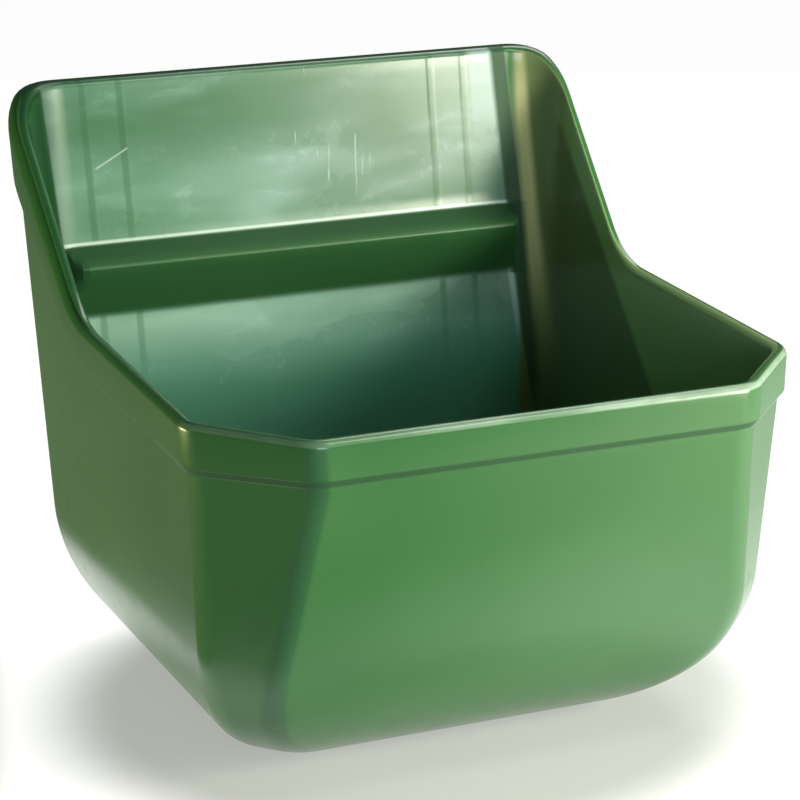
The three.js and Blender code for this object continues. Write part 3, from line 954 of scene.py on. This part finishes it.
class TubShader(Shader):
    """The zones and marks of the tub, and where its painted light and shade lie. Each is a share that falls to
    nothing outside.
    """

    def __init__(self, name):
        super().__init__(name)
        self.x, self.y, self.z = self.axes(self.place)
        self.facing_x, self.facing_y, self.facing_z = self.axes(self.facing)
        self.across = self.along((1, 0, FLUTE_LEAN))
        self.to_ends = self.along((1, 0, END_LEAN))
        self.turned_in = self.ramp(self.times(self.facing_x, self.x), *TURNED_IN)
        self.on_ledge = self.times(
            self.band(self.z, BASE + LEDGE_FOOT, BASE + LEDGE_TOP),
            self.band(self.y, -LEDGE_ZONE_DEPTH, -BACK_RIM_WIDTH - MARK_EDGE),
            self.band(self.x, -LEDGE_ZONE_HALF, LEDGE_ZONE_HALF),
        )
        self.off_ledge = self.ramp(self.on_ledge, 0, 1, 1, 0)
        self.on_panel = self.times(
            self.band(self.y, -BACK_RIM_WIDTH - PANEL_SKIN, -BACK_RIM_WIDTH + MARK_EDGE),
            self.band(self.to_ends, *PANEL_ENDS),
            self.off_ledge,
            self.ramp(self.facing_y, *TO_FRONT),
        )
        self.flutes = self.times(
            self.most(*(self.line_at(self.across, place, FLUTE_WIDTH) for place in FLUTES)), self.on_panel)
        # Below the ledge, where a painted light lies on the panel
        self.under_ledge = self.times(
            self.height(LEDGE_FOOT + MARK_EDGE, LEDGE_FOOT - MARK_EDGE),
            self.ramp(self.x, *UNDER_LEDGE_ACROSS),
            self.on_panel,
        )

    def height(self, low, high, *shares):
        """A ramp between two heights over the underside."""
        return self.ramp(self.z, BASE + low, BASE + high, *shares)

    def end_zone(self):
        """The paler part past the last upright lines, with a painted highlight in its top corner and a painted
        highlight as a line along its low end.
        """
        top_corner_highlight = self.times(
            self.ramp(self.across, FLUTES[3], FLUTES[3] + 2 * PANEL_FADE), self.height(*TOP_CORNER))
        low_end_highlight = self.times(
            self.line_at(self.to_ends, PANEL_ENDS[1] - MARK_EDGE / 2, MARK_EDGE),
            self.height(LEDGE_TIP, LEDGE_FOOT))
        return self.most(
            self.ramp(self.across, FLUTES[3], FLUTES[3] + PANEL_FADE, 0, LAST_FLUTE_SHARE),
            self.ramp(self.across, FLUTES[2], FLUTES[2] + PANEL_FADE, 0, THIRD_FLUTE_SHARE),
            self.times(top_corner_highlight, TOP_CORNER_HIGHLIGHT_SHARE),
            self.times(low_end_highlight, LOW_END_HIGHLIGHT_SHARE),
        )

    def wear_and_sheen(self):
        """How far the panel is painted pale by rubbing and a painted sheen: in clouds, less at the top, and
        fading out down in the tub as a painted shadow line.
        """
        clouds = self.pattern(*CLOUDS)
        smudges = self.pattern(*SMUDGES)
        pale_wear_and_sheen = self.math(
            "SUBTRACT", self.ramp(self.across, *WEAR_AND_SHEEN_ACROSS), self.ramp(self.across, *WEAR_AND_SHEEN_LOSS_RIGHT))
        pale_wear_and_sheen = self.plus(
            pale_wear_and_sheen, self.times(clouds, CLOUD_SHARE), self.times(smudges, clouds, SMUDGE_SHARE))
        pale_wear_and_sheen = self.plus(
            self.times(pale_wear_and_sheen, self.height(*WEAR_AND_SHEEN_TOP)), self.end_zone(),
            self.times(self.under_ledge, UNDER_LEDGE_LIGHT))
        return self.times(
            pale_wear_and_sheen, self.on_panel, self.height(*PAINTED_SHADOW_LINE), self.ramp(self.flutes, 0, 1, 1, FLUTE_WEAR_AND_SHEEN))

    def marks(self):
        """The upright scratches in the middle of the panel and the long slanting one at its left."""
        upright = self.times(
            self.pattern(*UPRIGHT_SCRATCHES),
            self.band(self.x, *UPRIGHT_ZONE),
            self.height(LEDGE_TOP, LEDGE_TOP + UPRIGHT_FADE),
        )
        along = (SCRATCH_END - SCRATCH_START).normalized()
        across = Vector((-along.z, 0, along.x))
        scratch = self.times(
            self.line_at(self.along(across), across.dot(SCRATCH_START), SCRATCH_WIDTH),
            self.band(self.along(along), along.dot(SCRATCH_START), along.dot(SCRATCH_END)),
        )
        return self.times(self.most(upright, scratch), self.on_panel)

    def junction_highlight(self):
        """A painted highlight: the bright line where the panel meets the ledge."""
        return self.times(
            self.line_at(self.z, BASE + LEDGE_TOP + LEDGE_FILLET / 3, LEDGE_FILLET / 2), self.on_panel)

    # Painted reflection: a beige upright streak in the right inner corner
    def corner_reflection(self):
        return self.times(
            self.band(self.across, *STREAK, STREAK_FADE),
            self.turned_in,
            self.ramp(self.y, *STREAK_DEPTH),
            self.height(*STREAK_FOOT),
            self.height(*STREAK_TOP),
            self.pattern(*STREAK_GRAIN),
        )

    def dark_strip(self):
        """The strip between the panel's right end and the streak, painted dark as shade."""
        return self.times(
            self.band(self.to_ends, *CORNER_STRIP),
            self.ramp(self.y, *CORNER_STRIP_DEPTH),
            self.ramp(self.facing_y, *TO_FRONT),
            DARK_STRIP_SHARE,
        )

    def cheek(self):
        """The paler edge inside the right cheek, along the rim's slope."""
        run = Vector((SHOULDER_DISTANCE - CREST_DISTANCE, BACK_HEIGHT - SHOULDER_HEIGHT)).normalized()
        rim_line = -run.y * SHOULDER_DISTANCE - run.x * (BASE + SHOULDER_HEIGHT)
        below_rim = self.math("SUBTRACT", self.along((0, run.y, -run.x)), rim_line)
        return self.times(
            self.turned_in,
            self.ramp(self.x, *RIGHT_HALF),
            self.ramp(below_rim, *CHEEK_BAND),
            self.ramp(self.y, *CHEEK_DEPTH),
            CHEEK_SHARE,
        )

    def teal(self):
        return self.times(self.on_panel, self.height(*TEAL_TOP), self.height(*TEAL_FOOT))

    # Painted shade along the underside of the band's foot
    def under_band(self):
        return self.times(
            self.ramp(self.facing_z, *UNDERSIDE), self.height(*UNDER_BAND_HEIGHTS), self.off_ledge)

    # Painted shade along the top of the back rim
    def rim_top(self):
        return self.times(
            self.ramp(self.y, *RIM_TOP_DEPTH), self.ramp(self.facing_z, *UPPER_SIDE), RIM_TOP_SHARE)

    def front_corner_shade(self):
        """Painted shade on the rounding between the front and the left chamfer."""
        return self.times(
            self.ramp(self.facing_x, *CORNER_START),
            self.ramp(self.facing_x, *CORNER_END),
            self.ramp(self.x, *LEFT_CORNER),
            CORNER_SHADE_SHARE,
        )

    # Painted light: a pale wash on the front, stronger to the right
    def front_light(self):
        return self.times(
            self.ramp(self.facing_y, *FLAT_TO_FRONT),
            self.ramp(self.y, *FRONT_DEPTH),
            self.ramp(self.x, *FRONT_LIGHT_RISE),
        )

    def lip_highlight(self):
        """A painted highlight along the outer rounding of the front lip."""
        return self.times(
            self.ramp(self.facing_z, *LIP_HIGHLIGHT_START),
            self.ramp(self.facing_z, *LIP_HIGHLIGHT_END),
            self.ramp(self.facing_y, *TO_FRONT),
            self.ramp(self.y, *LIP_HIGHLIGHT_DEPTH),
            self.height(*LIP_HIGHLIGHT_HEIGHTS),
            self.ramp(self.x, *LIP_HIGHLIGHT_RISE),
            self.pattern(*LIP_GRAIN),
        )


def green_plastic():
    """Glossy moulded plastic, rubbed pale and cloudy on the inside of the back, with a painted sheen there, and
    painted shade, highlights and reflections in its colour.
    """
    shader = TubShader("green_plastic")
    wear_and_sheen = shader.wear_and_sheen()
    marks = shader.marks()
    dark_strip = shader.dark_strip()
    under_band = shader.under_band()
    pale_wear_and_sheen = shader.mix(shader.ramp(shader.across, FLUTES[0], FLUTES[2]), GREEN_WEAR_SHEEN, PALE_WEAR_SHEEN)
    # Painted shade under the band's foot, on the ledge's underside and roof, and along the back rim's top
    painted_shade = shader.most(
        shader.times(under_band, UNDER_BAND_SHARE),
        shader.times(shader.on_ledge, shader.ramp(shader.facing_z, *LEDGE_SHADE)),
        shader.rim_top(),
    )
    tone = shader.overlays(
        shader.mix(shader.pattern(*MOTTLE), GREEN_DEEP, GREEN_LIGHT),
        # Painted reflection of the pale panel on the inside walls of the right half
        (shader.times(shader.turned_in, shader.ramp(shader.x, *RIGHT_HALF)), OLIVE_REFLECTION),
        # Painted shade on the inside walls of the left half
        (shader.times(shader.turned_in, shader.ramp(shader.x, *LEFT_HALF)), PAINTED_SHADE_GREEN),
        (shader.cheek(), CHEEK_PALE_TONE),
        (shader.teal(), TEAL_TONE),
        # Painted shade in the strip at the right inner corner
        (dark_strip, PAINTED_SHADE_GREEN),
        # Rubbing and painted sheen on the panel, with painted light under the ledge
        (wear_and_sheen, shader.mix(shader.under_ledge, pale_wear_and_sheen, TEAL_PAINTED_LIGHT)),
        (shader.times(marks, MARKS_SHARE), GREEN_MARK_AND_HIGHLIGHT),
        # Painted highlight where the panel meets the ledge
        (shader.times(shader.junction_highlight(), JUNCTION_HIGHLIGHT_SHARE), GREEN_MARK_AND_HIGHLIGHT),
        # Painted reflection in the right inner corner
        (shader.corner_reflection(), BEIGE_REFLECTION),
        (painted_shade, PAINTED_SHADE_GREEN),
        # Painted shade on the front's left corner rounding
        (shader.front_corner_shade(), PAINTED_CORNER_SHADE),
        # Painted light on the front, stronger to the right
        (shader.front_light(), PAINTED_FRONT_LIGHT),
        # Painted highlight along the front lip
        (shader.lip_highlight(), GREEN_MARK_AND_HIGHLIGHT),
    )
    left_end = shader.times(shader.on_panel, shader.ramp(shader.to_ends, *LEFT_END))
    rough = shader.plus(
        shader.pattern(*GLOSS),
        shader.pattern(*SCUFFS),
        shader.times(wear_and_sheen, WEAR_AND_SHEEN_ROUGHNESS),
        shader.times(marks, MARKS_ROUGHNESS),
        shader.times(dark_strip, DARK_STRIP_ROUGHNESS),
        shader.times(left_end, LEFT_END_ROUGHNESS),
        shader.times(shader.on_ledge, LEDGE_ROUGHNESS),
        shader.times(under_band, UNDER_BAND_ROUGHNESS),
    )
    normal = shader.bump(shader.noise(*ORANGE_PEEL), *PEEL_RELIEF)
    normal = shader.bump(shader.flutes, *FLUTE_RELIEF, normal)
    normal = shader.bump(marks, *MARKS_RELIEF, normal)
    shader.set(Base_Color=tone, Roughness=rough, Normal=normal, IOR=1.5, Specular_IOR_Level=0.5)
    return shader.material


def galvanised_steel():
    """Dull zinc with its patches of crystals."""
    shader = Shader("galvanised_steel")
    spangle = shader.tree.nodes.new("ShaderNodeTexVoronoi")
    shader.put(spangle.inputs["Vector"], shader.place)
    shader.put(spangle.inputs["Scale"], SPANGLE_SCALE)
    grey = shader.tree.nodes.new("ShaderNodeRGBToBW")
    shader.put(grey.inputs["Color"], spangle.outputs["Color"])
    crystals = grey.outputs["Val"]
    dull = shader.noise(*ZINC_PATCHES)
    tone = shader.mix(crystals, ZINC_DARK, ZINC_LIGHT)
    tone = shader.mix(shader.ramp(dull, *PATCH_DULLING), tone, ZINC_DULL)
    rough = shader.plus(shader.ramp(crystals, *CRYSTAL_ROUGHNESS), shader.ramp(dull, *PATCH_ROUGHNESS))
    normal = shader.bump(shader.noise(*ZINC_GRAIN), *ZINC_RELIEF)
    shader.set(Base_Color=tone, Roughness=rough, Normal=normal, Metallic=1.0)
    return shader.material


def zinc_plated_steel():
    """Bright plating with turning marks round the screw's axis."""
    shader = Shader("zinc_plated_steel")
    tone = shader.mix(shader.pattern(*PLATING_TONES), PLATING_COOL, PLATING_WARM)
    rough = shader.pattern(*PLATING_GLOSS)
    normal = shader.bump(shader.noise(*TURNING_MARKS), *PLATING_RELIEF)
    shader.set(Base_Color=tone, Roughness=rough, Normal=normal, Metallic=1.0)
    return shader.material


def make_floor():
    floor = new_object("floor", lambda work: bmesh.ops.create_grid(
        work, x_segments=1, y_segments=1, size=FLOOR_REACH))
    floor.location.z = BASE - FLOOR_GAP
    shader = Shader("pale_floor")
    edges = [shader.ramp(shader.along(direction), *ramp) for direction, ramp in GLOW_EDGES]
    from_tub = shader.by_place("DISTANCE", (0, -DEPTH / 2, 0))
    # Painted shadow: the glow is dimmed close round the middle of the tub
    lit = shader.times(*edges, shader.ramp(from_tub, *TUB_SHADOW_ON_FLOOR))
    glow = shader.ramp(lit, 0, 1, FLOOR_DIM, FLOOR_GLOW, smooth=False)
    tone = shader.mix(shader.noise(*FLOOR_MOTTLE), FLOOR_DEEP, FLOOR_LIGHT)
    tone = shader.mix(lit, FLOOR_FAR, tone)
    shader.set(Base_Color=tone, Roughness=0.9, Emission_Color=(1, 1, 1, 1), Emission_Strength=glow)
    floor.data.materials.append(shader.material)


def make_light(name, place, target, size, power, colour=(1, 1, 1)):
    lamp = bpy.data.lights.new(name, "AREA")
    lamp.shape = "RECTANGLE"
    lamp.size, lamp.size_y = size
    lamp.energy = power
    lamp.color = colour
    light = bpy.data.objects.new(name, lamp)
    light.location = place
    light.rotation_euler = (Vector(target) - Vector(place)).to_track_quat("-Z", "Y").to_euler()
    bpy.context.scene.collection.objects.link(light)


def make_lights():
    """A warm soft light at the front right, a cooler one at the front, others above, behind and at the left."""
    make_light(
        "softbox_right", (0.75, -1.15, 0.06), (0.0, -0.15, -0.05),
        size=(0.4, 0.5), power=21, colour=(1, 0.96, 0.82))
    make_light(
        "softbox_front", (-0.2, -2.2, 0.15), (0, -0.2, -0.1),
        size=(0.8, 0.5), power=11, colour=(0.80, 0.97, 1))
    make_light("softbox_above", (0.54, -1.08, 1.27), (0, -0.3, -0.1), size=(0.6, 0.3), power=5)
    make_light("softbox_behind", (0.8, 0.45, 1.2), (0, -0.35, -0.1), size=(1.0, 0.8), power=12)
    make_light(
        "softbox_left", (-1.2, 0.25, -0.22), (-0.2, -0.2, -0.2),
        size=(0.5, 0.18), power=8, colour=(1, 0.97, 0.42))


def make_room():
    world = bpy.data.worlds.new("studio")
    world.use_nodes = True
    background = world.node_tree.nodes["Background"]
    background.inputs["Color"].default_value = (1, 1, 1, 1)
    background.inputs["Strength"].default_value = ROOM_LIGHT
    bpy.context.scene.world = world
    bpy.context.scene.view_settings.view_transform = "Standard"


def make_camera():
    forward = Vector((
        math.sin(CAMERA_YAW) * math.cos(CAMERA_PITCH),
        math.cos(CAMERA_YAW) * math.cos(CAMERA_PITCH),
        -math.sin(CAMERA_PITCH),
    ))
    level_right = Vector((math.cos(CAMERA_YAW), -math.sin(CAMERA_YAW), 0))
    level_up = level_right.cross(forward)
    right = level_right * math.cos(CAMERA_ROLL) + level_up * math.sin(CAMERA_ROLL)
    up = level_up * math.cos(CAMERA_ROLL) - level_right * math.sin(CAMERA_ROLL)
    lens = bpy.data.cameras.new("camera")
    lens.lens = CAMERA_LENS
    lens.sensor_width = SENSOR_WIDTH
    lens.sensor_fit = "HORIZONTAL"
    camera = bpy.data.objects.new("camera", lens)
    turn = Matrix((right, up, -forward)).transposed().to_4x4()
    camera.matrix_world = Matrix.Translation(CAMERA_PLACE) @ turn
    bpy.context.scene.collection.objects.link(camera)
    bpy.context.scene.camera = camera


make_shell(green_plastic())
make_rail(galvanised_steel())
make_fixings(zinc_plated_steel())
make_floor()
make_lights()
make_room()
make_camera()
